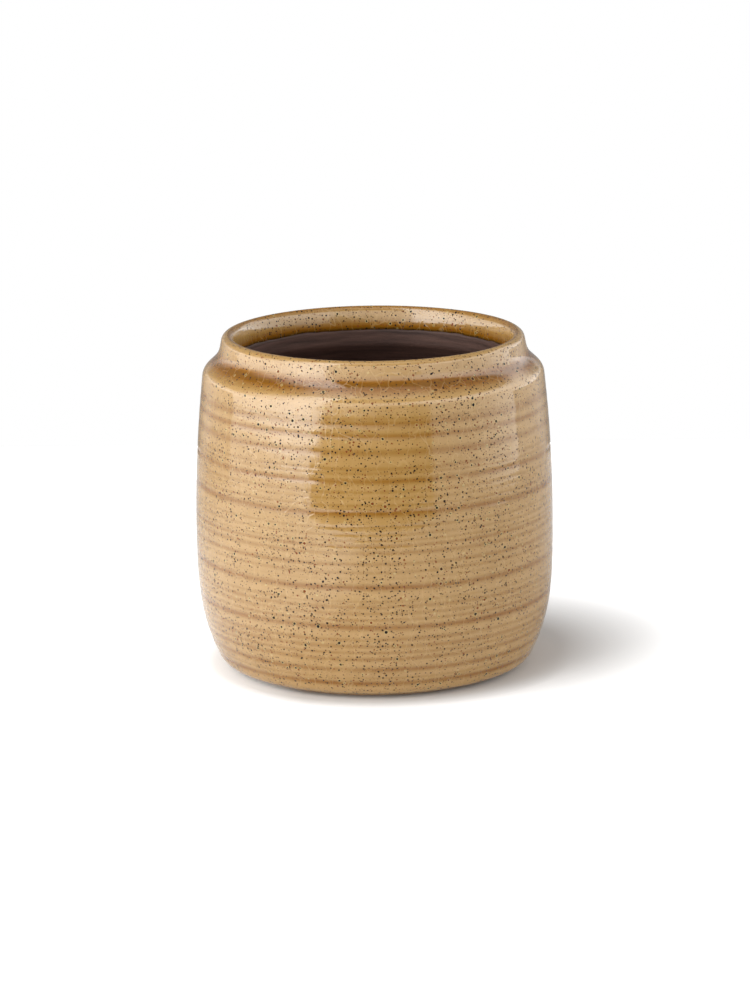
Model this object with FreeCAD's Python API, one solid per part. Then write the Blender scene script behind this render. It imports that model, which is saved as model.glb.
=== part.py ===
import FreeCAD, Part
import math
import os

# A thrown stoneware flower pot in millimetres: a clay body, the glaze on its outside and over its lip,
# and the brown coat that seals its inside. The pot stands on Z = 0 with its axis on Z. Each layer is one
# half section, turned round the axis. Sizes are over the glaze unless they say otherwise.

# Mouth, neck and shoulder, from the lip outwards: the mouth at the glaze line, the radius in which it flares
# up to the lip, the lip's full round, and how far the neck draws in up to it
MOUTH_DIAMETER = 114.0
MOUTH_FLARE_ROUND = 27.0
LIP_THICKNESS = 5.2
NECK_RISE = 8.6
NECK_DRAW = 1.2
SHOULDER_LEDGE = 6.6
SHOULDER_RISE = 6.1
SHOULDER_ROUND = 6.0
NECK_ROUND = 10.0

# Wall, from the shoulder down to the heel, with how far it draws in from the belly each way
UPPER_WALL_HEIGHT = 65.8
UPPER_WALL_DRAW = 3.9
UPPER_DRAW_POWER = 1.9
BELLY_HEIGHT = 60.0
LOWER_WALL_DRAW = 11.6
LOWER_DRAW_POWER = 3.25
HEEL_HEIGHT = 5.0
HEEL_LIFT = 1.4

# Foot ring, set in under the heel
FOOT_INSET = 2.4
FOOT_RING_WIDTH = 7.0
FOOT_RECESS = 2.5
FOOT_EDGE_ROUND = 0.6
RECESS_CORNER_ROUND = 1.0

# Inside of the clay
WALL_THICKNESS = 6.0
FLOOR_THICKNESS = 6.5
FLOOR_CURVE_HEIGHT = 10.0
NECK_DEPTH = 16.5
NECK_EDGE_ROUND = 3.0
UNDERCUT_DROP = 11.6
UNDERCUT_ROUND = 12.0

# Layers on the clay: the glaze ends this far below the lip's crest, where the coat begins
GLAZE_THICKNESS = 0.4
GLAZE_REACH = 9.7
COAT_THICKNESS = 0.3

# Main throwing rings as they show in the glaze: the deepest one, then each one's height as a share of the
# wall between heel and shoulder, and its depth as a share of the deepest
RING_DEPTH = 0.25
ring_shares = [
    (0.019, 1.00),
    (0.078, 0.90),
    (0.127, 0.55),
    (0.236, 0.95),
    (0.380, 0.90),
    (0.642, 0.85),
    (0.750, 0.60),
    (0.846, 0.65),
    (0.949, 0.55),
]

# Places that follow from those sizes
mouth_radius = MOUTH_DIAMETER / 2
lip_round = LIP_THICKNESS / 2
flare_lean = math.asin((GLAZE_REACH - lip_round) / (MOUTH_FLARE_ROUND - lip_round))
flare_radius = mouth_radius + MOUTH_FLARE_ROUND
lip_radius = flare_radius - (MOUTH_FLARE_ROUND - lip_round) * math.cos(flare_lean)
neck_lean = math.atan(NECK_DRAW / (NECK_RISE - lip_round))
neck_run = NECK_RISE - lip_round * (1 - math.sin(neck_lean))
lip_side_radius = lip_radius + lip_round * math.cos(neck_lean)
neck_radius = lip_side_radius + neck_run * math.tan(neck_lean)
shoulder_radius = neck_radius + SHOULDER_LEDGE
belly_radius = shoulder_radius + UPPER_WALL_DRAW
shoulder_height = BELLY_HEIGHT + UPPER_WALL_HEIGHT
neck_height = shoulder_height + SHOULDER_RISE
crest_height = neck_height + NECK_RISE
glaze_line_height = crest_height - GLAZE_REACH
neck_edge_height = crest_height - NECK_DEPTH
undercut_height = neck_edge_height - UNDERCUT_DROP
floor_height = FOOT_RECESS + FLOOR_THICKNESS

# Steps of the smooth wall's curve on each side of the belly
WALL_STEPS = 4

# Ends that meet closer than this are one point
JOIN_TOLERANCE = 1e-6


def place(radius, height):
    """A point of the half section."""
    return FreeCAD.Vector(radius, 0, height)


def wall_radius(height):
    """Outside of the wall between its rings: widest at the belly, drawn in below and above it."""
    if height < BELLY_HEIGHT:
        away = (BELLY_HEIGHT - height) / BELLY_HEIGHT
        return belly_radius - LOWER_WALL_DRAW * away ** LOWER_DRAW_POWER
    away = (height - BELLY_HEIGHT) / UPPER_WALL_HEIGHT
    return belly_radius - UPPER_WALL_DRAW * away ** UPPER_DRAW_POWER


def wall_lean(height):
    """Angle by which the wall leans out from upright as it rises, negative above the belly."""
    if height < BELLY_HEIGHT:
        away = (BELLY_HEIGHT - height) / BELLY_HEIGHT
        slope = LOWER_WALL_DRAW * LOWER_DRAW_POWER / BELLY_HEIGHT * away ** (LOWER_DRAW_POWER - 1)
    else:
        away = (height - BELLY_HEIGHT) / UPPER_WALL_HEIGHT
        slope = -UPPER_WALL_DRAW * UPPER_DRAW_POWER / UPPER_WALL_HEIGHT * away ** (UPPER_DRAW_POWER - 1)
    return math.atan(slope)


def upward(lean):
    """Direction up the wall where it leans out by an angle."""
    return place(math.sin(lean), math.cos(lean))


def outward(lean):
    """Direction square out of the wall where it leans out by an angle."""
    return place(math.cos(lean), -math.sin(lean))


def inset_corner(before, corner, after, depth):
    """The corner that lies a depth inside a corner of the outside, square to both of its sides."""
    first = (corner - before).normalize()
    second = (after - corner).normalize()
    first_normal = place(first.z, -first.x)
    second_normal = place(second.z, -second.x)
    return corner - (first_normal + second_normal) * (depth / (1 + first_normal.dot(second_normal)))


def corner_arc(before, corner, after, radius):
    """Rounding of a corner between two sides, no larger than the shorter side leaves room for."""
    to_before = before - corner
    to_after = after - corner
    half_angle = to_before.getAngle(to_after) / 2
    reach = min(radius / math.tan(half_angle), to_before.Length, to_after.Length)
    bisector = (to_before.normalize() + to_after.normalize()).normalize()
    centre = corner + bisector * (reach / math.cos(half_angle))
    middle = centre - bisector * (reach * math.tan(half_angle))
    return Part.Arc(corner + to_before * reach, middle, corner + to_after * reach)


def turn_in(wall_point, lean, level):
    """Points of the arc that turns from a leaning wall into a level face below it: wall, middle, level."""
    radius = (wall_point.z - level) / (1 - math.sin(lean))
    centre = wall_point - outward(lean) * radius
    middle = centre + outward((lean + math.pi / 2) / 2) * radius
    return wall_point, middle, centre - place(0, radius)


def outline(*stretches):
    """Edges through points and curves in order, with a straight run wherever one doesn't meet the next."""
    edges = []
    tail = None
    for stretch in stretches:
        is_point = isinstance(stretch, FreeCAD.Vector)
        head = stretch if is_point else stretch.StartPoint
        if tail is not None and not tail.isEqual(head, JOIN_TOLERANCE):
            edges.append(Part.LineSegment(tail, head).toShape())
        if not is_point:
            edges.append(stretch.toShape())
        tail = stretch if is_point else stretch.EndPoint
    return edges


def heel_arc(depth):
    """Points of the heel's rounding, a depth under the glaze: wall, middle, level."""
    lean = wall_lean(HEEL_HEIGHT)
    wall_point = place(wall_radius(HEEL_HEIGHT), HEEL_HEIGHT) - outward(lean) * depth
    return turn_in(wall_point, lean, HEEL_LIFT + depth)


def arc_from(start, direction, end):
    """Arc that leaves its start in a direction and runs to its end."""
    chord = end - start
    bow = (math.atan2(direction.x, direction.z) - math.atan2(chord.x, chord.z)) / 2
    middle = (start + end) / 2 + place(chord.z, -chord.x) * (math.tan(bow) / 2)
    return Part.Arc(start, middle, end)


def arc_into(start, end, direction):
    """Arc that runs from its start and reaches its end in a direction."""
    backward = arc_from(end, -direction, start)
    return Part.Arc(start, backward.value((backward.FirstParameter + backward.LastParameter) / 2), end)


def ringed_wall(start, end):
    """The glazed wall from heel to shoulder: a dip at each throwing ring and a swell halfway between two."""
    turns = [start]
    for height_share, depth_share in ring_shares:
        height = start.z + (end.z - start.z) * height_share
        if len(turns) > 1:
            swell_height = (turns[-1].z + height) / 2
            turns.append(place(wall_radius(swell_height), swell_height))
        turns.append(place(wall_radius(height) - RING_DEPTH * depth_share, height))
    turns.append(end)
    arcs = []
    for lower, upper in zip(turns, turns[1:]):
        crossing = (lower + upper) / 2
        arcs.append(arc_from(lower, upward(wall_lean(lower.z)), crossing))
        arcs.append(arc_into(crossing, upper, upward(wall_lean(upper.z))))
    return arcs


def plain_wall(start, end, depth):
    """The smooth wall between two points, a depth under the glaze, in steps on each side of the belly."""
    steps = WALL_STEPS * 2
    points = []
    for step in range(1, steps):
        nearer = start.z if step < WALL_STEPS else end.z
        height = BELLY_HEIGHT + (nearer - BELLY_HEIGHT) * abs(step - WALL_STEPS) / WALL_STEPS
        points.append(place(wall_radius(height) - depth, height))
    way = 1 if end.z > start.z else -1
    curve = Part.BSplineCurve()
    curve.interpolate(
        Points=[start, *points, end],
        InitialTangent=upward(wall_lean(start.z)) * way,
        FinalTangent=upward(wall_lean(end.z)) * way)
    return curve


def outside(depth):
    """The pot's outside, a depth under the glaze: from under the heel over the lip to the inner glaze line.

    The throwing rings show in the glaze's face, and the clay behind it is smooth.
    """
    heel_wall, heel_middle, heel_level = heel_arc(depth)
    shoulder = place(shoulder_radius, shoulder_height)
    wall_below = shoulder - upward(wall_lean(shoulder_height)) * UPPER_WALL_HEIGHT
    neck = place(neck_radius, neck_height)
    lip_side = place(lip_side_radius, neck_height + neck_run)
    inner_shoulder = inset_corner(wall_below, shoulder, neck, depth)
    inner_neck = inset_corner(shoulder, neck, lip_side, depth)
    inner_lip_side = lip_side - outward(-neck_lean) * depth
    shoulder_arc = corner_arc(
        inner_shoulder + wall_below - shoulder, inner_shoulder, inner_neck, SHOULDER_ROUND - depth)
    neck_arc = corner_arc(shoulder_arc.EndPoint, inner_neck, inner_lip_side, NECK_ROUND + depth)
    glaze_end = place(mouth_radius + depth, glaze_line_height)
    flare_centre = place(flare_radius, glaze_line_height)
    flare_start = flare_centre - outward(flare_lean) * (MOUTH_FLARE_ROUND - depth)
    flare_middle = flare_centre - outward(flare_lean / 2) * (MOUTH_FLARE_ROUND - depth)
    if depth > 0:
        wall = [plain_wall(heel_wall, shoulder_arc.StartPoint, depth)]
    else:
        wall = ringed_wall(heel_wall, shoulder_arc.StartPoint)
    return [
        Part.Arc(heel_level, heel_middle, heel_wall),
        *wall,
        shoulder_arc,
        neck_arc,
        Part.Arc(inner_lip_side, place(lip_radius, crest_height - depth), flare_start),
        Part.Arc(flare_start, flare_middle, glaze_end),
        glaze_end,
    ]


def inside(depth):
    """The pot's inside, a depth over the bare clay: from the glaze line to the middle of the floor."""
    clay_radius = mouth_radius + GLAZE_THICKNESS
    glaze_end = place(clay_radius, glaze_line_height)
    neck_edge = place(clay_radius, neck_edge_height)
    undercut = place(wall_radius(undercut_height) - WALL_THICKNESS, undercut_height)
    undercut_lean = wall_lean(undercut_height)
    wall_below = undercut - upward(undercut_lean) * undercut_height
    curve_height = floor_height + FLOOR_CURVE_HEIGHT
    curve_lean = wall_lean(curve_height)
    curve_start = place(wall_radius(curve_height) - WALL_THICKNESS, curve_height)

    coat_edge = inset_corner(undercut, neck_edge, glaze_end, depth)
    coat_undercut = inset_corner(wall_below, undercut, neck_edge, depth)
    coat_top = place(coat_edge.x, glaze_line_height)
    edge_arc = corner_arc(coat_top, coat_edge, coat_undercut, NECK_EDGE_ROUND + depth)
    undercut_arc = corner_arc(
        edge_arc.EndPoint, coat_undercut, coat_undercut + wall_below - undercut, UNDERCUT_ROUND - depth)
    wall_point, floor_middle, floor_edge = turn_in(
        curve_start - outward(curve_lean) * depth, curve_lean, floor_height + depth)
    return [
        coat_top,
        edge_arc,
        undercut_arc,
        plain_wall(undercut_arc.EndPoint, wall_point, WALL_THICKNESS + depth),
        Part.Arc(wall_point, floor_middle, floor_edge),
        place(0, floor_height + depth),
    ]


def foot():
    """The pot's underside: a shallow recess within a foot ring, and the step up to the heel."""
    heel_level = heel_arc(GLAZE_THICKNESS)[2]
    ring_outer = heel_level.x - FOOT_INSET
    ring_inner = ring_outer - FOOT_RING_WIDTH
    ring_middle = place((ring_inner + ring_outer) / 2, 0)
    recess_corner = place(ring_inner, FOOT_RECESS)
    inner_edge = place(ring_inner, 0)
    outer_edge = place(ring_outer, 0)
    heel_corner = place(ring_outer, heel_level.z)
    return [
        corner_arc(place(0, FOOT_RECESS), recess_corner, inner_edge, RECESS_CORNER_ROUND),
        corner_arc(recess_corner, inner_edge, ring_middle, FOOT_EDGE_ROUND),
        corner_arc(ring_middle, outer_edge, heel_corner, FOOT_EDGE_ROUND),
        heel_corner,
    ]


def turned(edges):
    """Solid of revolution of a closed half section about the pot's axis."""
    return Part.Face(Part.Wire(edges)).revolve(place(0, 0), place(0, 1), 360)


def layer(face, back):
    """Solid of a layer between its showing face and the clay behind it."""
    face_edges = outline(*face)
    back_edges = outline(*back)
    face_ends = face_edges[0].Vertexes[0].Point, face[-1]
    back_ends = back_edges[0].Vertexes[0].Point, back[-1]
    far_end = outline(face_ends[1], back_ends[1])
    near_end = outline(back_ends[0], face_ends[0])
    return turned(face_edges + far_end + back_edges[::-1] + near_end)


def stoneware_body():
    """Clay of the pot: foot ring, floor, wall, shoulder, neck and lip in one turned piece."""
    recess_middle = place(0, FOOT_RECESS)
    clay_outside = outside(GLAZE_THICKNESS)
    return turned(outline(recess_middle, *foot(), *clay_outside, *inside(0), recess_middle))


def outer_glaze():
    """Glaze from under the heel, over the wall and lip, to its line inside the mouth."""
    return layer(outside(0), outside(GLAZE_THICKNESS))


def inner_coat():
    """Brown coat over the inside, from the glaze line to the floor."""
    return layer(inside(COAT_THICKNESS), inside(0))


os.makedirs("parts", exist_ok=True)
for node in (stoneware_body, outer_glaze, inner_coat):
    node().exportStep("parts/" + node.__name__ + ".step")
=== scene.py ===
import functools
import math

import bmesh
import bpy
from mathutils import Matrix, Vector, noise


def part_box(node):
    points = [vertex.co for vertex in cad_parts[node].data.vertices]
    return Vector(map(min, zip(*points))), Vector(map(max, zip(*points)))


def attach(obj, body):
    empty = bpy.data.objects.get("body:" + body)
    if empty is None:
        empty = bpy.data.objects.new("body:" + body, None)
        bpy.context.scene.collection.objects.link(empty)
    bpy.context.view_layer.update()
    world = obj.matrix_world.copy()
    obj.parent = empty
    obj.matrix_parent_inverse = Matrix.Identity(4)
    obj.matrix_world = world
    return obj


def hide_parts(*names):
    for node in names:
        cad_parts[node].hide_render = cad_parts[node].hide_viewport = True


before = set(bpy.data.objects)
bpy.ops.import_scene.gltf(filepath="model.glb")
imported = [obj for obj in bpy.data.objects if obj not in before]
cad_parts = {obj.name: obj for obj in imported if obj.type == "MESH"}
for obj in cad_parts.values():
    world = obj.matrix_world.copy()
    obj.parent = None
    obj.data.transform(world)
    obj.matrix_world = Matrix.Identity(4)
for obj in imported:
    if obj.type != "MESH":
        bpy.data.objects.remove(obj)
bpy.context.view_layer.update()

# A thrown stoneware pot: ochre glaze over the outside and lip, brown slip inside, bare clay on the foot.
# Metres, in the frame of the solids, with the pot's axis on Z and its front towards -Y.

# Sizes of the turned section, the same as those of the solids
_, GLAZE_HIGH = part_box("outer_glaze")
COAT_LOW, COAT_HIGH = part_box("inner_coat")
CREST_HEIGHT = GLAZE_HIGH[2]
GLAZE_LINE_HEIGHT = COAT_HIGH[2]
FLOOR_HEIGHT = COAT_LOW[2]
MOUTH_RADIUS = 0.0570
MOUTH_FLARE_ROUND = 0.0270
LIP_ROUND = 0.0026
FLARE_LEAN = math.asin((CREST_HEIGHT - GLAZE_LINE_HEIGHT - LIP_ROUND) / (MOUTH_FLARE_ROUND - LIP_ROUND))
LIP_RADIUS = MOUTH_RADIUS + MOUTH_FLARE_ROUND - (MOUTH_FLARE_ROUND - LIP_ROUND) * math.cos(FLARE_LEAN)
NECK_HEIGHT = 0.1319
NECK_DRAW = 0.0012
NECK_LEAN = math.atan(NECK_DRAW / (CREST_HEIGHT - NECK_HEIGHT - LIP_ROUND))
NECK_ROUND = 0.0100
SHOULDER_RADIUS = 0.0711
SHOULDER_HEIGHT = 0.1258
SHOULDER_ROUND = 0.0060
BELLY_RADIUS = 0.0750
BELLY_HEIGHT = 0.0600
UPPER_DRAW_POWER = 1.9
LOWER_WALL_DRAW = 0.0116
LOWER_DRAW_POWER = 3.25
HEEL_HEIGHT = 0.0050
HEEL_LIFT = 0.0014
FOOT_INSET = 0.0024
FOOT_RING_WIDTH = 0.0070
FOOT_RECESS = 0.0025
FOOT_EDGE_ROUND = 0.0006
WALL_THICKNESS = 0.0060
FLOOR_CURVE_HEIGHT = 0.0100
NECK_EDGE_HEIGHT = 0.1240
NECK_EDGE_ROUND = 0.0030
UNDERCUT_HEIGHT = 0.1124
UNDERCUT_ROUND = 0.0120
GLAZE_THICKNESS = 0.0004
COAT_THICKNESS = 0.0003

# How finely the turned pieces are cut
TURN_STEPS = 224
WALL_STEP = 0.00044
BACK_STEP = 0.0026
ARC_STEP = math.radians(7)
ARC_LENGTH = 0.0012

# Hand throwing: how far the wall stands off the circle and the glaze line off the level,
# in slow and in quick waves
SLOW_WOBBLE = 0.00018
QUICK_WOBBLE = 0.00005
SLOW_LINE_WAVE = 0.0006
QUICK_LINE_WAVE = 0.00035

# Thickness of the glaze as a share: on the open wall, and what some places add to it or take from it
OPEN_GLAZE = 0.40
RING_POOL = 0.98
FULLEST_RING = 1.2
# Down inside the lip: glaze thicker towards its edge, together with painted shade of the mouth's inside
MOUTH_POOL_AND_SHADE = 2.00
# Darker along the lip's crest
CREST_DARKENING = 0.80
CREST_WIDTH = 0.0012
HOLLOW_POOL = 1.5
HOLLOW_PLACE = 0.1310
HOLLOW_WIDTH = 0.0028
SHOULDER_THINNING = 0.20
SHOULDER_PLACE = 0.1252
SHOULDER_WIDTH = 0.0020
HEEL_THINNING = 0.60
HEEL_PLACE = 0.0026
HEEL_WIDTH = 0.0007

# A run that took the glaze down to the heel, left of the front: its turn from +X, top and half width
RUN_TURN = math.radians(-100.8)
RUN_TOP = 0.027
RUN_FADE = 0.009
RUN_WIDTH = 0.0022
RUN_SHARE = 0.7

# Throwing rings: their depth at the foot and from the belly up, how far one drifts up or down round the pot,
# and the usual share of its depth and the change of it on the way round
LOW_RING_DEPTH = 0.00014
HIGH_RING_DEPTH = 0.00007
RING_DRIFT = 0.0004
RING_STRENGTH = 0.95
RING_CHANGE = 0.45

# Each ring: height and half width in metres, and depth as a share of the deepest
throwing_rings = [
    (0.0075, 0.00105, 1.10),
    (0.0103, 0.00060, 0.25),
    (0.0138, 0.00105, 0.90),
    (0.0188, 0.00085, 0.66),
    (0.0217, 0.00065, 0.50),
    (0.0245, 0.00090, 0.58),
    (0.0275, 0.00080, 0.50),
    (0.0328, 0.00120, 0.95),
    (0.0360, 0.00065, 0.50),
    (0.0388, 0.00080, 0.35),
    (0.0415, 0.00085, 0.50),
    (0.0442, 0.00070, 0.25),
    (0.0497, 0.00115, 1.00),
    (0.0533, 0.00060, 0.15),
    (0.0561, 0.00070, 0.35),
    (0.0595, 0.00080, 0.60),
    (0.0642, 0.00085, 0.55),
    (0.0672, 0.00070, 0.65),
    (0.0694, 0.00050, 0.30),
    (0.0720, 0.00060, 0.30),
    (0.0750, 0.00060, 0.30),
    (0.0806, 0.00135, 0.95),
    (0.0838, 0.00060, 0.35),
    (0.0868, 0.00055, 0.20),
    (0.0893, 0.00070, 0.35),
    (0.0935, 0.00115, 0.95),
    (0.0967, 0.00060, 0.35),
    (0.0988, 0.00080, 0.40),
    (0.1053, 0.00140, 0.70),
    (0.1119, 0.00115, 0.85),
    (0.1168, 0.00140, 0.70),
    (0.1190, 0.00060, 0.25),
]


# The turned section

def wall_radius(height):
    """Outside of the wall between its rings: widest at the belly, drawn in below and above it."""
    if height < BELLY_HEIGHT:
        away = (BELLY_HEIGHT - height) / BELLY_HEIGHT
        return BELLY_RADIUS - LOWER_WALL_DRAW * away ** LOWER_DRAW_POWER
    away = (height - BELLY_HEIGHT) / (SHOULDER_HEIGHT - BELLY_HEIGHT)
    return BELLY_RADIUS - (BELLY_RADIUS - SHOULDER_RADIUS) * away ** UPPER_DRAW_POWER


def wall_lean(height):
    """Angle by which the wall leans out from upright as it rises."""
    step = WALL_STEP / 10
    return math.atan((wall_radius(height + step) - wall_radius(height - step)) / (2 * step))


def along(lean):
    """Direction up the wall where it leans out by an angle, as radius and height."""
    return Vector((math.sin(lean), math.cos(lean)))


def arc(centre, radius, start, end):
    """Points of an arc in the section, from one angle to another."""
    steps = max(2, math.ceil(abs(end - start) / ARC_STEP), math.ceil(abs(end - start) * radius / ARC_LENGTH))
    turns = [start + (end - start) * step / steps for step in range(steps + 1)]
    return [centre + Vector((math.cos(turn), math.sin(turn))) * radius for turn in turns]


def rounded(before, corner, after, radius):
    """Points of the rounding of a corner in the section."""
    to_before = (before - corner).normalized()
    to_after = (after - corner).normalized()
    half_angle = to_before.angle(to_after) / 2
    bisector = (to_before + to_after).normalized()
    centre = corner + bisector * (radius / math.sin(half_angle))
    first = corner + to_before * (radius / math.tan(half_angle)) - centre
    last = corner + to_after * (radius / math.tan(half_angle)) - centre
    start = math.atan2(first.y, first.x)
    sweep = math.remainder(math.atan2(last.y, last.x) - start, math.tau)
    return arc(centre, radius, start, start + sweep)


def turned_in(height, level, depth):
    """Points of the arc from the wall, a depth inside it, down to a level face below."""
    lean = wall_lean(height)
    square_out = Vector((math.cos(lean), -math.sin(lean)))
    wall_point = Vector((wall_radius(height), height)) - square_out * depth
    radius = (wall_point.y - level) / (1 - math.sin(lean))
    return arc(wall_point - square_out * radius, radius, -lean, -math.pi / 2)


def wall_between(low, high, depth, step):
    """Points of the wall between two heights, a depth inside it."""
    steps = math.ceil((high - low) / step)
    heights = [low + (high - low) * place / steps for place in range(1, steps)]
    return [Vector((wall_radius(height) - depth, height)) for height in heights]


def inset_corner(before, corner, after, depth):
    """The corner a depth inside a corner of the outside, square to both of its sides."""
    first = (corner - before).normalized()
    second = (after - corner).normalized()
    first_normal = Vector((first.y, -first.x))
    second_normal = Vector((second.y, -second.x))
    return corner - (first_normal + second_normal) * (depth / (1 + first_normal.dot(second_normal)))


def outside(depth, step):
    """Section of the outside, a depth under the glaze: from the heel over the lip to the glaze line."""
    shoulder = Vector((SHOULDER_RADIUS, SHOULDER_HEIGHT))
    lip_centre = Vector((LIP_RADIUS, CREST_HEIGHT - LIP_ROUND))
    lip = arc(lip_centre, LIP_ROUND - depth, NECK_LEAN, math.pi - FLARE_LEAN)
    flare_centre = Vector((MOUTH_RADIUS + MOUTH_FLARE_ROUND, GLAZE_LINE_HEIGHT))
    flare = arc(flare_centre, MOUTH_FLARE_ROUND - depth, math.pi - FLARE_LEAN, math.pi)[1:]
    lip_side = lip_centre + Vector((math.cos(NECK_LEAN), math.sin(NECK_LEAN))) * LIP_ROUND
    neck = lip_side - along(-NECK_LEAN) * ((lip_side.y - NECK_HEIGHT) / math.cos(NECK_LEAN))
    wall_below = shoulder - along(wall_lean(SHOULDER_HEIGHT)) * BELLY_HEIGHT
    inner_shoulder = inset_corner(wall_below, shoulder, neck, depth)
    inner_neck = inset_corner(shoulder, neck, lip_side, depth)
    heel = turned_in(HEEL_HEIGHT, HEEL_LIFT + depth, depth)[::-1]
    shoulder_round = rounded(
        inner_shoulder + wall_below - shoulder, inner_shoulder, inner_neck, SHOULDER_ROUND - depth)
    neck_round = rounded(inner_shoulder, inner_neck, inner_neck + lip_side - neck, NECK_ROUND + depth)
    wall = wall_between(heel[-1].y, shoulder_round[0].y, depth, step)
    return heel + wall + shoulder_round + neck_round + lip + flare


def inside(depth):
    """Section of the inside, a depth over the clay, from the glaze line to the edge of the flat floor."""
    clay_radius = MOUTH_RADIUS + GLAZE_THICKNESS
    top = Vector((clay_radius - depth, GLAZE_LINE_HEIGHT))
    neck_edge = Vector((clay_radius, NECK_EDGE_HEIGHT))
    undercut = Vector((wall_radius(UNDERCUT_HEIGHT) - WALL_THICKNESS, UNDERCUT_HEIGHT))
    wall_below = undercut - along(wall_lean(UNDERCUT_HEIGHT)) * BELLY_HEIGHT
    coat_edge = inset_corner(undercut, neck_edge, neck_edge + Vector((0, NECK_EDGE_ROUND)), depth)
    coat_undercut = inset_corner(wall_below, undercut, neck_edge, depth)
    edge_round = rounded(top, coat_edge, coat_undercut, NECK_EDGE_ROUND + depth)
    undercut_round = rounded(
        coat_edge, coat_undercut, coat_undercut + wall_below - undercut, UNDERCUT_ROUND - depth)
    floor_round = turned_in(FLOOR_HEIGHT + FLOOR_CURVE_HEIGHT, FLOOR_HEIGHT + depth, WALL_THICKNESS + depth)
    wall = wall_between(floor_round[0].y, undercut_round[-1].y, WALL_THICKNESS + depth, BACK_STEP)[::-1]
    drops = math.ceil((top.y - edge_round[0].y) / BACK_STEP * 2)
    neck_wall = [top.lerp(edge_round[0], place / drops) for place in range(drops)]
    return neck_wall + edge_round + undercut_round + wall + floor_round + [Vector((0, FLOOR_HEIGHT + depth))]


def underside():
    """Section of the foot, from the middle of its recess to the glaze's edge under the heel."""
    heel = turned_in(HEEL_HEIGHT, HEEL_LIFT + GLAZE_THICKNESS, GLAZE_THICKNESS)[-1]
    ring_outer = heel.x - FOOT_INSET
    ring_inner = ring_outer - FOOT_RING_WIDTH
    ring_middle = Vector(((ring_inner + ring_outer) / 2, 0))
    recess = Vector((0, FOOT_RECESS))
    recess_corner = Vector((ring_inner, FOOT_RECESS))
    inner_edge = Vector((ring_inner, 0))
    outer_edge = Vector((ring_outer, 0))
    heel_corner = Vector((ring_outer, heel.y))
    return [
        recess,
        *rounded(recess, recess_corner, inner_edge, FOOT_EDGE_ROUND),
        *rounded(recess_corner, inner_edge, ring_middle, FOOT_EDGE_ROUND),
        *rounded(ring_middle, outer_edge, heel_corner, FOOT_EDGE_ROUND),
        heel_corner,
    ]


# Hand-made irregularity, shared by all the layers so that they stay nested

@functools.lru_cache(maxsize=None)
def rings_at(angle):
    """The throwing rings on one side of the pot, a little up or down there, and deeper or shallower."""
    around = Vector((math.cos(angle), math.sin(angle), 0))
    rings = []
    for index, (height, width, depth) in enumerate(throwing_rings):
        drift = RING_DRIFT * noise.noise(around * 1.3 + Vector((0, 0, 7.3 * index)))
        change = noise.noise(around * 2.1 + Vector((0, 0, 3.1 * index + 40)))
        strength = RING_STRENGTH + RING_CHANGE * change
        rings.append((height + drift, width, depth * strength))
    return rings


def band(away, width):
    """A soft band: 1 in its middle, and close to 0 at twice its half width."""
    return math.exp(-(away / width) ** 2)


def ring_share(height, angle):
    """How deep the throwing rings are at a place on the wall: 0 on a swell, about 1 in the deepest."""
    near = [ring for ring in rings_at(angle) if abs(height - ring[0]) < 3 * ring[1]]
    return sum(depth * band(height - middle, width) for middle, width, depth in near)


def out_of_round(height, angle):
    """How far a thrown wall stands off the true circle."""
    around = Vector((math.cos(angle), math.sin(angle), height * 12))
    quick = noise.noise(around * 4.0 + Vector((0, 0, 20)))
    return SLOW_WOBBLE * noise.noise(around * 1.1) + QUICK_WOBBLE * quick


def glaze_line_wave(angle):
    """How far the glaze's edge inside the mouth dips or rises along its way round."""
    around = Vector((math.cos(angle), math.sin(angle), 0))
    return SLOW_LINE_WAVE * noise.noise(around * 3.0) + QUICK_LINE_WAVE * noise.noise(around * 11.0)


def pale_run(height, angle):
    """Share of the run at a place: 1 along its middle, fading to the sides and to its top."""
    across = BELLY_RADIUS * math.remainder(angle - RUN_TURN, math.tau)
    fade = min(1, max(0, (RUN_TOP - height) / RUN_FADE))
    return fade * band(across, RUN_WIDTH)


def pool_and_shade_share(radius, height, rings):
    """How thick the glaze lies: pooled in rings and at the neck, thin on shoulder and heel, darker along the
    crest, and thicker down inside the lip, deepened there as painted shade.
    """
    if radius < LIP_RADIUS:
        lip_middle = CREST_HEIGHT - LIP_ROUND
        down_inside = max(0, (lip_middle - height) / (lip_middle - GLAZE_LINE_HEIGHT))
        on_crest = CREST_DARKENING * band(CREST_HEIGHT - height, CREST_WIDTH)
        # Darker down inside the lip, thicker glaze there together with painted shade of the mouth's inside;
        # darker along the crest
        return OPEN_GLAZE + MOUTH_POOL_AND_SHADE * down_inside ** 2 + on_crest
    pooled = RING_POOL * min(rings, FULLEST_RING) + HOLLOW_POOL * band(height - HOLLOW_PLACE, HOLLOW_WIDTH)
    thinned = SHOULDER_THINNING * band(height - SHOULDER_PLACE, SHOULDER_WIDTH)
    thinned += HEEL_THINNING * band(height - HEEL_PLACE, HEEL_WIDTH)
    return OPEN_GLAZE + pooled - thinned


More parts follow.
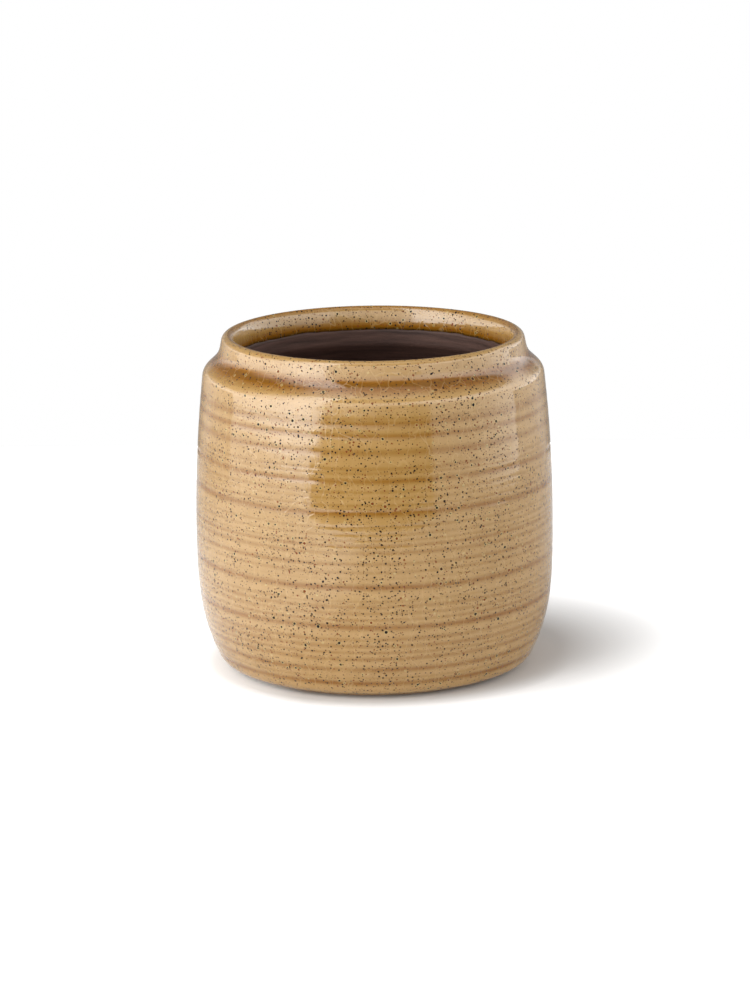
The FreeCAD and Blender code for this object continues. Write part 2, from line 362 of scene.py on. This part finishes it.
def turned_piece(name, section, ringed):
    """A closed section turned round the pot's axis, with the wobble and rings of hand throwing."""
    mesh = bpy.data.meshes.new(name)
    bm = bmesh.new()
    verts = [bm.verts.new((point.x, 0, point.y)) for point in section]
    edges = [bm.edges.new(pair) for pair in zip(verts, verts[1:])]
    if section[0].x > 0:
        edges.append(bm.edges.new((verts[-1], verts[0])))
    bmesh.ops.spin(
        bm, geom=verts + edges, cent=(0, 0, 0), axis=(0, 0, 1),
        angle=math.tau, steps=TURN_STEPS, use_merge=True)
    bmesh.ops.remove_doubles(bm, verts=bm.verts, dist=WALL_STEP / 100)
    bmesh.ops.recalc_face_normals(bm, faces=bm.faces)
    pool_and_shade = bm.verts.layers.float.new("pool_and_shade")
    for vert in bm.verts:
        radius = math.hypot(vert.co.x, vert.co.y)
        height = vert.co.z
        if radius < FOOT_RING_WIDTH:
            continue
        angle = math.atan2(vert.co.y, vert.co.x)
        on_wall = ringed and radius > wall_radius(min(height, SHOULDER_HEIGHT)) - WALL_THICKNESS / 2
        rings = ring_share(height, round(angle, 4)) if on_wall and height < SHOULDER_HEIGHT else 0
        rings *= 1 - RUN_SHARE * pale_run(height, angle)
        vert[pool_and_shade] = pool_and_shade_share(radius, height, rings)
        rise = min(1, height / BELLY_HEIGHT)
        ring_depth = LOW_RING_DEPTH + (HIGH_RING_DEPTH - LOW_RING_DEPTH) * rise
        shift = out_of_round(height, angle) * rise - ring_depth * rings
        vert.co.x *= (radius + shift) / radius
        vert.co.y *= (radius + shift) / radius
        if radius < LIP_RADIUS:
            near_line = max(0, 1 - abs(height - GLAZE_LINE_HEIGHT) / NECK_EDGE_ROUND)
            vert.co.z += glaze_line_wave(angle) * near_line
    bm.to_mesh(mesh)
    bm.free()
    mesh.shade_smooth()
    piece = bpy.data.objects.new(name, mesh)
    bpy.context.scene.collection.objects.link(piece)
    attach(piece, "root")
    return piece


# Materials

def colour(hex_code):
    """An sRGB hex colour as linear red, green, blue and alpha."""
    channels = [int(hex_code[place:place + 2], 16) / 255 for place in (0, 2, 4)]
    linear = [value / 12.92 if value <= 0.04045 else ((value + 0.055) / 1.055) ** 2.4 for value in channels]
    return (*linear, 1)


def per_metre(millimetres):
    """Texture scale at which one cell of a pattern is this wide."""
    return 1000 / millimetres


def add(tree, kind, inputs, **settings):
    """Adds a node with its settings, and links or sets its inputs."""
    new = tree.nodes.new(kind)
    for name, value in settings.items():
        setattr(new, name, value)
    for key, value in inputs.items():
        if isinstance(value, bpy.types.NodeSocket):
            tree.links.new(value, new.inputs[key])
        else:
            new.inputs[key].default_value = value
    return new


def new_material(name):
    """An empty node material and its tree."""
    material = bpy.data.materials.new(name)
    material.use_nodes = True
    material.node_tree.nodes.clear()
    return material, material.node_tree


# Iron specks in three sizes: in mm the cell that holds one and the smallest and largest radius,
# then colour, opacity, and whether a pale halo lies round it
iron_specks = [
    (1.1, 0.15, 0.33, "4A2C16", 0.90, False),
    (1.5, 0.27, 0.48, "22150C", 1.00, False),
    (4.6, 0.36, 0.70, "1A110A", 1.00, True),
]


def speckled_glaze():
    """Glossy ochre stoneware glaze: honey where thin, brown where it pools and, as painted shade, down
    inside the mouth, with iron specks and crazing.
    """
    material, tree = new_material("speckled_ochre_glaze")
    place = add(tree, "ShaderNodeTexCoord", {}).outputs["Object"]
    # How thick the glaze lies, with painted shade down inside the mouth
    pool_and_shade = add(tree, "ShaderNodeAttribute", {}, attribute_name="pool_and_shade").outputs["Fac"]

    # Glaze that ran down the wall leaves upright streaks, fine level lines and soft clouds of thicker colour
    upright = add(tree, "ShaderNodeMapping", {"Vector": place, "Scale": (1, 1, 0.16)}).outputs["Vector"]
    runs = add(tree, "ShaderNodeTexNoise", {
        "Vector": upright, "Scale": per_metre(4.5), "Detail": 4, "Roughness": 0.6}).outputs["Fac"]
    level = add(tree, "ShaderNodeMapping", {"Vector": place, "Scale": (0.05, 0.05, 1)}).outputs["Vector"]
    lines = add(tree, "ShaderNodeTexNoise", {
        "Vector": level, "Scale": per_metre(2.0), "Detail": 3, "Roughness": 0.6}).outputs["Fac"]
    clouds = add(tree, "ShaderNodeTexNoise", {
        "Vector": place, "Scale": per_metre(14), "Detail": 5, "Roughness": 0.6}).outputs["Fac"]
    thick = add(tree, "ShaderNodeMath", {0: runs, 1: 0.30, 2: pool_and_shade}, operation="MULTIPLY_ADD").outputs[0]
    thick = add(tree, "ShaderNodeMath", {0: lines, 1: 0.35, 2: thick}, operation="MULTIPLY_ADD").outputs[0]
    thick = add(tree, "ShaderNodeMath", {0: clouds, 1: 0.35, 2: thick}, operation="MULTIPLY_ADD").outputs[0]
    mid_part = add(tree, "ShaderNodeMapRange", {
        "Value": thick, "From Min": 0.60, "From Max": 1.10}).outputs["Result"]
    deep_part = add(tree, "ShaderNodeMapRange", {
        "Value": thick, "From Min": 1.00, "From Max": 2.10}).outputs["Result"]
    base = add(tree, "ShaderNodeMix", {
        "Factor": mid_part, "A": colour("C39C63"),
        "B": colour("B18A4F")}, data_type="RGBA").outputs["Result"]
    base = add(tree, "ShaderNodeMix", {
        "Factor": deep_part, "A": base, "B": colour("8E5A10")}, data_type="RGBA").outputs["Result"]
    pit_part = add(tree, "ShaderNodeMapRange", {
        "Value": thick, "From Min": 2.00, "From Max": 2.90}).outputs["Result"]
    base = add(tree, "ShaderNodeMix", {
        "Factor": pit_part, "A": base, "B": colour("6E4C18")}, data_type="RGBA").outputs["Result"]

    # Specks of iron in loose drifts, the largest with a pale ring of glaze round them
    shaken = add(tree, "ShaderNodeTexNoise", {
        "Vector": place, "Scale": per_metre(0.8), "Detail": 1}).outputs["Color"]
    shaken = add(tree, "ShaderNodeVectorMath", {
        0: shaken, 1: (0.0004, 0.0004, 0.0004), 2: place}, operation="MULTIPLY_ADD").outputs["Vector"]
    drifts = add(tree, "ShaderNodeTexNoise", {
        "Vector": place, "Scale": per_metre(15), "Detail": 2}).outputs["Fac"]
    drift_size = add(tree, "ShaderNodeMapRange", {
        "Value": drifts, "From Min": 0.3, "From Max": 0.7, "To Min": 0.82, "To Max": 1.14}).outputs["Result"]
    iron = 0.0
    for cell, smallest, largest, dark, opacity, halo in iron_specks:
        grains = add(tree, "ShaderNodeTexVoronoi", {"Vector": shaken, "Scale": per_metre(cell)})
        chance = add(tree, "ShaderNodeSeparateColor", {"Color": grains.outputs["Color"]})
        size = add(tree, "ShaderNodeMapRange", {
            "Value": chance.outputs["Red"], "To Min": smallest / cell,
            "To Max": largest / cell}).outputs["Result"]
        depth = add(tree, "ShaderNodeMath", {0: size, 1: drift_size}, operation="MULTIPLY").outputs[0]
        depth = add(tree, "ShaderNodeMath", {
            0: depth, 1: grains.outputs["Distance"]}, operation="SUBTRACT").outputs[0]
        if halo:
            ring = add(tree, "ShaderNodeMapRange", {
                "Value": depth, "From Min": -0.35 / cell, "From Max": -0.05 / cell,
                "To Max": 0.50}).outputs["Result"]
            base = add(tree, "ShaderNodeMix", {
                "Factor": ring, "A": base, "B": colour("CDB878")}, data_type="RGBA").outputs["Result"]
        speck = add(tree, "ShaderNodeMapRange", {
            "Value": depth, "From Max": 0.08 / cell, "To Max": opacity}).outputs["Result"]
        rust = add(tree, "ShaderNodeMapRange", {
            "Value": chance.outputs["Green"], "From Min": 0.76, "From Max": 0.84}).outputs["Result"]
        grain = add(tree, "ShaderNodeMix", {
            "Factor": rust, "A": colour(dark), "B": colour("7A3D1A")}, data_type="RGBA").outputs["Result"]
        base = add(tree, "ShaderNodeMix", {
            "Factor": speck, "A": base, "B": grain}, data_type="RGBA").outputs["Result"]
        iron = add(tree, "ShaderNodeMath", {0: iron, 1: speck}, operation="MAXIMUM").outputs[0]

    # Crazing: long upright cracks with slanting ones between, a hair proud and a shade paler than the glaze
    bend = add(tree, "ShaderNodeTexNoise", {
        "Vector": place, "Scale": per_metre(10), "Detail": 2}).outputs["Color"]
    bent = add(tree, "ShaderNodeVectorMath", {
        0: bend, 1: (0.008, 0.008, 0.008), 2: place}, operation="MULTIPLY_ADD").outputs["Vector"]
    bent = add(tree, "ShaderNodeMapping", {"Vector": bent, "Scale": (1, 1, 0.26)}).outputs["Vector"]
    cracks = add(tree, "ShaderNodeTexVoronoi", {
        "Vector": bent, "Scale": per_metre(6)}, feature="DISTANCE_TO_EDGE").outputs["Distance"]
    crack = add(tree, "ShaderNodeMapRange", {
        "Value": cracks, "From Min": 0.026, "From Max": 0.0}).outputs["Result"]
    crack_tint = add(tree, "ShaderNodeMath", {0: crack, 1: 0.24}, operation="MULTIPLY").outputs[0]
    base = add(tree, "ShaderNodeMix", {
        "Factor": crack_tint, "A": base, "B": colour("DAB77C")}, data_type="RGBA").outputs["Result"]

    # A fired glaze is smooth but not flat: it keeps slow ripples
    ripples = add(tree, "ShaderNodeTexNoise", {
        "Vector": place, "Scale": per_metre(5), "Detail": 2, "Roughness": 0.5}).outputs["Fac"]
    relief = add(tree, "ShaderNodeMath", {
        0: crack, 1: 0.28, 2: ripples}, operation="MULTIPLY_ADD").outputs[0]
    bump = add(tree, "ShaderNodeBump", {
        "Strength": 1.0, "Distance": 0.00006, "Height": relief}).outputs["Normal"]

    # Iron specks are nearly matt, and deep pools a little less glossy than the open glaze
    gloss = add(tree, "ShaderNodeMapRange", {
        "Value": iron, "To Min": 0.06, "To Max": 0.35}).outputs["Result"]
    shine = add(tree, "ShaderNodeMapRange", {
        "Value": thick, "From Min": 1.10, "From Max": 2.00, "To Min": 0.5, "To Max": 0.42}).outputs["Result"]
    shine = add(tree, "ShaderNodeMix", {"Factor": iron, "A": shine, "B": 0.08}).outputs["Result"]
    shader = add(tree, "ShaderNodeBsdfPrincipled", {
        "Base Color": base, "Roughness": gloss, "IOR": 1.80, "Specular IOR Level": shine, "Normal": bump})
    add(tree, "ShaderNodeOutputMaterial", {"Surface": shader.outputs["BSDF"]})
    return material


def brown_slip():
    """Matt brown slip brushed on the turning pot: level streaks of lighter and darker brown."""
    material, tree = new_material("matt_brown_slip")
    place = add(tree, "ShaderNodeTexCoord", {}).outputs["Object"]
    level = add(tree, "ShaderNodeMapping", {"Vector": place, "Scale": (0.06, 0.06, 1)}).outputs["Vector"]
    strokes = add(tree, "ShaderNodeTexNoise", {
        "Vector": level, "Scale": per_metre(2.2), "Detail": 5, "Roughness": 0.65}).outputs["Fac"]
    grit = add(tree, "ShaderNodeTexNoise", {
        "Vector": place, "Scale": per_metre(0.6), "Detail": 2}).outputs["Fac"]
    tone = add(tree, "ShaderNodeMapRange", {
        "Value": strokes, "From Min": 0.3, "From Max": 0.7}).outputs["Result"]
    base = add(tree, "ShaderNodeMix", {
        "Factor": tone, "A": colour("35231D"), "B": colour("684C42")}, data_type="RGBA").outputs["Result"]
    relief = add(tree, "ShaderNodeMath", {0: strokes, 1: 2.0, 2: grit}, operation="MULTIPLY_ADD").outputs[0]
    bump = add(tree, "ShaderNodeBump", {
        "Strength": 0.5, "Distance": 0.00012, "Height": relief}).outputs["Normal"]
    shader = add(tree, "ShaderNodeBsdfPrincipled", {
        "Base Color": base, "Roughness": 0.62, "IOR": 1.45, "Normal": bump})
    add(tree, "ShaderNodeOutputMaterial", {"Surface": shader.outputs["BSDF"]})
    return material


def bare_stoneware():
    """Fired buff clay, wiped clean of glaze: dry, gritty and a little orange, with iron grains."""
    material, tree = new_material("bare_buff_stoneware")
    place = add(tree, "ShaderNodeTexCoord", {}).outputs["Object"]
    blush = add(tree, "ShaderNodeTexNoise", {
        "Vector": place, "Scale": per_metre(12), "Detail": 5, "Roughness": 0.6}).outputs["Fac"]
    grit = add(tree, "ShaderNodeTexNoise", {
        "Vector": place, "Scale": per_metre(0.5), "Detail": 3, "Roughness": 0.7}).outputs["Fac"]
    warm = add(tree, "ShaderNodeMapRange", {
        "Value": blush, "From Min": 0.35, "From Max": 0.65}).outputs["Result"]
    base = add(tree, "ShaderNodeMix", {
        "Factor": warm, "A": colour("D2B48C"), "B": colour("C79A6B")}, data_type="RGBA").outputs["Result"]
    grains = add(tree, "ShaderNodeTexVoronoi", {
        "Vector": place, "Scale": per_metre(2.0)}).outputs["Distance"]
    speck = add(tree, "ShaderNodeMapRange", {
        "Value": grains, "From Min": 0.17, "From Max": 0.10, "To Max": 0.8}).outputs["Result"]
    base = add(tree, "ShaderNodeMix", {
        "Factor": speck, "A": base, "B": colour("5B3A22")}, data_type="RGBA").outputs["Result"]
    bump = add(tree, "ShaderNodeBump", {
        "Strength": 0.6, "Distance": 0.00015, "Height": grit}).outputs["Normal"]
    shader = add(tree, "ShaderNodeBsdfPrincipled", {
        "Base Color": base, "Roughness": 0.82, "IOR": 1.45, "Normal": bump})
    add(tree, "ShaderNodeOutputMaterial", {"Surface": shader.outputs["BSDF"]})
    return material


# The pot

clay_back = outside(GLAZE_THICKNESS, BACK_STEP)
glaze = turned_piece("glazed_wall", outside(0, WALL_STEP) + clay_back[::-1], ringed=True)
glaze.data.materials.append(speckled_glaze())
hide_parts("outer_glaze")

coat = turned_piece("inside_coat", inside(COAT_THICKNESS) + inside(0)[::-1], ringed=False)
coat.data.materials.append(brown_slip())
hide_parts("inner_coat")

clay = turned_piece("clay_wall_and_foot", underside() + clay_back + inside(0), ringed=True)
clay.data.materials.append(bare_stoneware())
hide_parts("stoneware_body")


# Studio: a white table that ends in front of the pot, a low white backdrop, and soft light from the sides

TABLE_FRONT = -0.44
TABLE_BACK = 0.42
TABLE_SIDE = 0.60
BACKDROP_PLACE = 1.0
BACKDROP_SIDE = 3.5
BACKDROP_HIGH = 0.17
BACKDROP_LOW = -0.5

# Painted light, the table's own glow that lifts it to white and is left out round the pot to paint its
# shadow: the middle of the pot's shadow, and the distances over which the glow grows
SHADE_MIDDLE = (0.025, 0.020, 0)
# Painted contact shade: no glow this near the axis, so the table stays dark at the foot
PAST_FOOT = (0.068, 0.082)
NEAR_SHADE = (0.054, 0.108)
NEAR_FILL = 0.66
FAR_SHADE = (0.100, 0.165)
FAR_FILL = 0.18
# A painted pool of light on the table left of the pot, seen by the camera and mirrored in the glaze
GLOW_LEFT = (-0.03, -0.11)
GLOW_FRONT = (0.26, 0.02)
LEFT_FILL = 0.8
MIRRORED_SHARE = 0.1
TABLE_TONE = (0.74, 0.74, 0.74, 1)

# The backdrop as the glaze mirrors it: dimmer behind the pot, and white from these distances to the side
DIM_SIDE = (0.45, 0.90)
DIM_LEVEL = 0.35
WHITE = (1, 1, 1, 1)


def white_table():
    """Matt white tabletop with a painted glow: white on the pot's left and away from it, left out round the
    pot to paint its shadow.
    """
    material, tree = new_material("matt_white_table")
    path = add(tree, "ShaderNodeLightPath", {})
    place = add(tree, "ShaderNodeTexCoord", {}).outputs["Object"]
    parts = add(tree, "ShaderNodeSeparateXYZ", {"Vector": place})
    # Painted pool of light on the pot's left, for the camera and for the glaze's reflection
    leftward = add(tree, "ShaderNodeMapRange", {
        "Value": parts.outputs["X"], "From Min": GLOW_LEFT[0], "From Max": GLOW_LEFT[1],
        "To Max": LEFT_FILL}).outputs["Result"]
    forward = add(tree, "ShaderNodeMapRange", {
        "Value": parts.outputs["Y"], "From Min": GLOW_FRONT[0], "From Max": GLOW_FRONT[1]}).outputs["Result"]
    from_pot = add(tree, "ShaderNodeVectorMath", {0: place}, operation="LENGTH").outputs["Value"]
    from_shade = add(tree, "ShaderNodeVectorMath", {
        0: place, 1: SHADE_MIDDLE}, operation="DISTANCE").outputs["Value"]
    # Painted contact shade: the glow starts only past the foot
    past_foot = add(tree, "ShaderNodeMapRange", {
        "Value": from_pot, "From Min": PAST_FOOT[0], "From Max": PAST_FOOT[1]}).outputs["Result"]
    # Painted shadow: the glow grows away from the shadow's middle, which sets the shadow's outline
    near_fill = add(tree, "ShaderNodeMapRange", {
        "Value": from_shade, "From Min": NEAR_SHADE[0], "From Max": NEAR_SHADE[1],
        "To Max": NEAR_FILL}).outputs["Result"]
    near_fill = add(tree, "ShaderNodeMath", {0: past_foot, 1: near_fill}, operation="MULTIPLY").outputs[0]
    far_fill = add(tree, "ShaderNodeMapRange", {
        "Value": from_shade, "From Min": FAR_SHADE[0], "From Max": FAR_SHADE[1],
        "To Max": FAR_FILL}).outputs["Result"]
    fill = add(tree, "ShaderNodeMath", {0: near_fill, 1: far_fill}, operation="ADD").outputs[0]
    mirrored_fill = add(tree, "ShaderNodeMath", {
        0: fill, 1: MIRRORED_SHARE}, operation="MULTIPLY").outputs[0]
    mirrored_glow = add(tree, "ShaderNodeMath", {
        0: leftward, 1: forward, 2: mirrored_fill}, operation="MULTIPLY_ADD").outputs[0]
    glow = add(tree, "ShaderNodeMath", {
        0: leftward, 1: forward, 2: fill}, operation="MULTIPLY_ADD").outputs[0]
    glow = add(tree, "ShaderNodeMath", {
        0: path.outputs["Is Camera Ray"], 1: glow}, operation="MULTIPLY").outputs[0]
    glow = add(tree, "ShaderNodeMath", {
        0: path.outputs["Is Glossy Ray"], 1: mirrored_glow, 2: glow}, operation="MULTIPLY_ADD").outputs[0]
    shader = add(tree, "ShaderNodeBsdfPrincipled", {
        "Base Color": TABLE_TONE, "Roughness": 0.9, "Emission Color": WHITE,
        "Emission Strength": glow, "Specular IOR Level": 0.0})
    add(tree, "ShaderNodeOutputMaterial", {"Surface": shader.outputs["BSDF"]})
    return material


def white_backdrop():
    """Lit white paper behind the table: just white to the camera, and dimmer in the glaze behind the pot."""
    material, tree = new_material("lit_white_paper")
    camera_ray = add(tree, "ShaderNodeLightPath", {}).outputs["Is Camera Ray"]
    place = add(tree, "ShaderNodeTexCoord", {}).outputs["Object"]
    sideways = add(tree, "ShaderNodeSeparateXYZ", {"Vector": place}).outputs["X"]
    sideways = add(tree, "ShaderNodeMath", {0: sideways}, operation="ABSOLUTE").outputs[0]
    mirrored = add(tree, "ShaderNodeMapRange", {
        "Value": sideways, "From Min": DIM_SIDE[0], "From Max": DIM_SIDE[1],
        "To Min": DIM_LEVEL}).outputs["Result"]
    strength = add(tree, "ShaderNodeMix", {"Factor": camera_ray, "A": mirrored, "B": 1.0}).outputs["Result"]
    shader = add(tree, "ShaderNodeEmission", {"Color": WHITE, "Strength": strength})
    add(tree, "ShaderNodeOutputMaterial", {"Surface": shader.outputs["Emission"]})
    return material


def flat_sheet(name, matrix, size, material):
    """A flat rectangle of the studio, placed by a matrix."""
    mesh = bpy.data.meshes.new(name)
    bm = bmesh.new()
    bmesh.ops.create_grid(bm, x_segments=1, y_segments=1, size=0.5)
    bmesh.ops.scale(bm, verts=bm.verts, vec=(*size, 1))
    bmesh.ops.transform(bm, verts=bm.verts, matrix=matrix)
    bm.to_mesh(mesh)
    bm.free()
    mesh.materials.append(material)
    sheet = bpy.data.objects.new(name, mesh)
    bpy.context.scene.collection.objects.link(sheet)


# Light of the studio: radiance by degrees left of the front, at some heights above the horizon.
# A broad bright box stands on the left, a paler one on the right, and it is dim in front, above and behind.
under_horizon = [
    (-180, 0.6), (-155, 1.6), (-133, 3.4), (-107, 2.8), (-70, 1.4), (-39, 0.8), (-37, 0.0), (41, 0.0),
    (43, 2.9), (70, 2.6), (87, 2.5), (107, 2.5), (133, 2.0), (155, 1.0), (180, 0.6)]
skimming = [
    (-180, 0.5), (-155, 1.6), (-133, 3.8), (-107, 3.0), (-70, 1.4), (-39, 1.0), (-37, 0.0), (33, 0.0),
    (40, 5.0), (54, 5.6), (70, 5.0), (87, 4.4), (107, 3.8), (133, 2.8), (155, 1.2), (180, 0.5)]
just_over = [
    (-180, 0.3), (-155, 1.3), (-133, 3.8), (-107, 2.8), (-70, 1.5), (-38, 1.3), (-36, 0.35), (-24, 0.3),
    (-12, 0.45), (0, 0.9), (12, 1.4), (24, 1.7), (33, 2.5), (38, 5.1), (54, 5.5), (70, 4.8),
    (87, 4.2), (107, 3.5), (133, 2.4), (155, 0.9), (180, 0.3)]
low_over = [
    (-180, 0.3), (-155, 0.6), (-140, 3.0), (-107, 2.5), (-70, 1.7), (-38, 1.6), (-36, 0.6), (-24, 0.5),
    (-12, 0.6), (0, 1.2), (12, 1.6), (24, 2.0), (33, 2.5), (37, 5.5), (54, 5.7), (70, 4.8),
    (87, 3.9), (107, 2.8), (130, 1.4), (150, 0.4), (180, 0.3)]
mid_over = [
    (-180, 0.3), (-152, 0.4), (-140, 2.4), (-107, 3.0), (-38, 2.6), (-30, 2.0), (0, 1.8), (24, 2.0),
    (33, 2.6), (37, 5.1), (54, 5.3), (70, 4.2), (87, 2.8), (98, 1.4), (110, 0.3), (180, 0.3)]
high_over = [
    (-180, 0.2), (-152, 0.2), (-140, 0.4), (-107, 0.5), (-38, 0.4), (-34, 0.2), (30, 0.2), (36, 5.2),
    (62, 4.8), (78, 2.4), (92, 0.8), (104, 0.2), (180, 0.2)]
overhead = [
    (-180, 0.2), (-150, 0.4), (-110, 1.0), (-40, 1.2), (0, 1.3), (30, 1.4), (60, 2.6), (80, 2.0),
    (100, 1.5), (120, 0.2), (180, 0.2)]
light_by_height = [
    (-5.5, under_horizon), (-3.3, skimming), (-0.8, skimming), (0.5, just_over), (6, just_over),
    (9, low_over), (12, low_over), (17, mid_over), (31, mid_over), (38, high_over), (62, high_over),
    (70, overhead)]
BRIGHTEST = 6.2
LIGHT_LEVEL = 0.73


def soft_studio():
    """Light by direction from the tables above, and plain white where the camera looks straight at it."""
    world = bpy.data.worlds.new("soft_studio")
    world.use_nodes = True
    tree = world.node_tree
    tree.nodes.clear()
    way = add(tree, "ShaderNodeTexCoord", {}).outputs["Generated"]
    parts = add(tree, "ShaderNodeSeparateXYZ", {"Vector": way})
    leftward = add(tree, "ShaderNodeMath", {
        0: parts.outputs["X"], 1: -1.0}, operation="MULTIPLY").outputs[0]
    forward = add(tree, "ShaderNodeMath", {
        0: parts.outputs["Y"], 1: -1.0}, operation="MULTIPLY").outputs[0]
    turn = add(tree, "ShaderNodeMath", {0: leftward, 1: forward}, operation="ARCTAN2").outputs[0]
    turn = add(tree, "ShaderNodeMapRange", {
        "Value": turn, "From Min": -math.pi, "From Max": math.pi}).outputs["Result"]
    rise = add(tree, "ShaderNodeMath", {0: parts.outputs["Z"]}, operation="ARCSINE").outputs[0]
    radiance = None
    for index, (height, stops) in enumerate(light_by_height):
        ramp = add(tree, "ShaderNodeValToRGB", {"Fac": turn})
        elements = ramp.color_ramp.elements
        for azimuth, _ in stops[1:-1]:
            elements.new((azimuth + 180) / 360)
        for element, (_, value) in zip(elements, stops):
            element.color = (value / BRIGHTEST, value / BRIGHTEST, value / BRIGHTEST, 1)
        if index == 0:
            radiance = ramp.outputs["Color"]
            continue
        share = add(tree, "ShaderNodeMapRange", {
            "Value": rise, "From Min": math.radians(light_by_height[index - 1][0]),
            "From Max": math.radians(height)}).outputs["Result"]
        radiance = add(tree, "ShaderNodeMix", {
            "Factor": share, "A": radiance, "B": ramp.outputs["Color"]}, data_type="RGBA").outputs["Result"]
    strength = add(tree, "ShaderNodeMath", {
        0: radiance, 1: BRIGHTEST * LIGHT_LEVEL}, operation="MULTIPLY").outputs[0]
    camera_ray = add(tree, "ShaderNodeLightPath", {}).outputs["Is Camera Ray"]
    strength = add(tree, "ShaderNodeMix", {
        "Factor": camera_ray, "A": strength, "B": 1.0}).outputs["Result"]
    background = add(tree, "ShaderNodeBackground", {"Color": WHITE, "Strength": strength})
    add(tree, "ShaderNodeOutputWorld", {"Surface": background.outputs["Background"]})
    bpy.context.scene.world = world


table_middle = Vector((0, (TABLE_FRONT + TABLE_BACK) / 2, 0))
table_size = (2 * TABLE_SIDE, TABLE_BACK - TABLE_FRONT)
flat_sheet("table", Matrix.Translation(table_middle), table_size, white_table())
backdrop_middle = Vector((0, BACKDROP_PLACE, (BACKDROP_HIGH + BACKDROP_LOW) / 2))
flat_sheet("backdrop", Matrix.Translation(backdrop_middle) @ Matrix.Rotation(math.pi / 2, 4, "X"),
           (2 * BACKDROP_SIDE, BACKDROP_HIGH - BACKDROP_LOW), white_backdrop())
soft_studio()


# Camera at the photograph's angle

CAMERA_DISTANCE = 1.8
CAMERA_ELEVATION = math.radians(13.18)
CAMERA_ROLL = math.radians(-0.60)
CAMERA_LENS = 154.2
SENSOR_WIDTH = 36
AIM = Vector((0.0002, 0, 0.0688))
ORBIT_CENTRE = Vector((0, 0, 0.070))

camera_data = bpy.data.cameras.new("camera")
camera_data.lens = CAMERA_LENS
camera_data.sensor_width = SENSOR_WIDTH
camera = bpy.data.objects.new("camera", camera_data)
towards_camera = Vector((0, -math.cos(CAMERA_ELEVATION), math.sin(CAMERA_ELEVATION)))
camera_place = ORBIT_CENTRE + CAMERA_DISTANCE * towards_camera
aimed = (AIM - camera_place).to_track_quat("-Z", "Y").to_matrix().to_4x4()
camera.matrix_world = Matrix.Translation(camera_place) @ aimed @ Matrix.Rotation(CAMERA_ROLL, 4, "Z")
bpy.context.scene.collection.objects.link(camera)
bpy.context.scene.camera = camera
bpy.context.scene.view_settings.view_transform = "Standard"
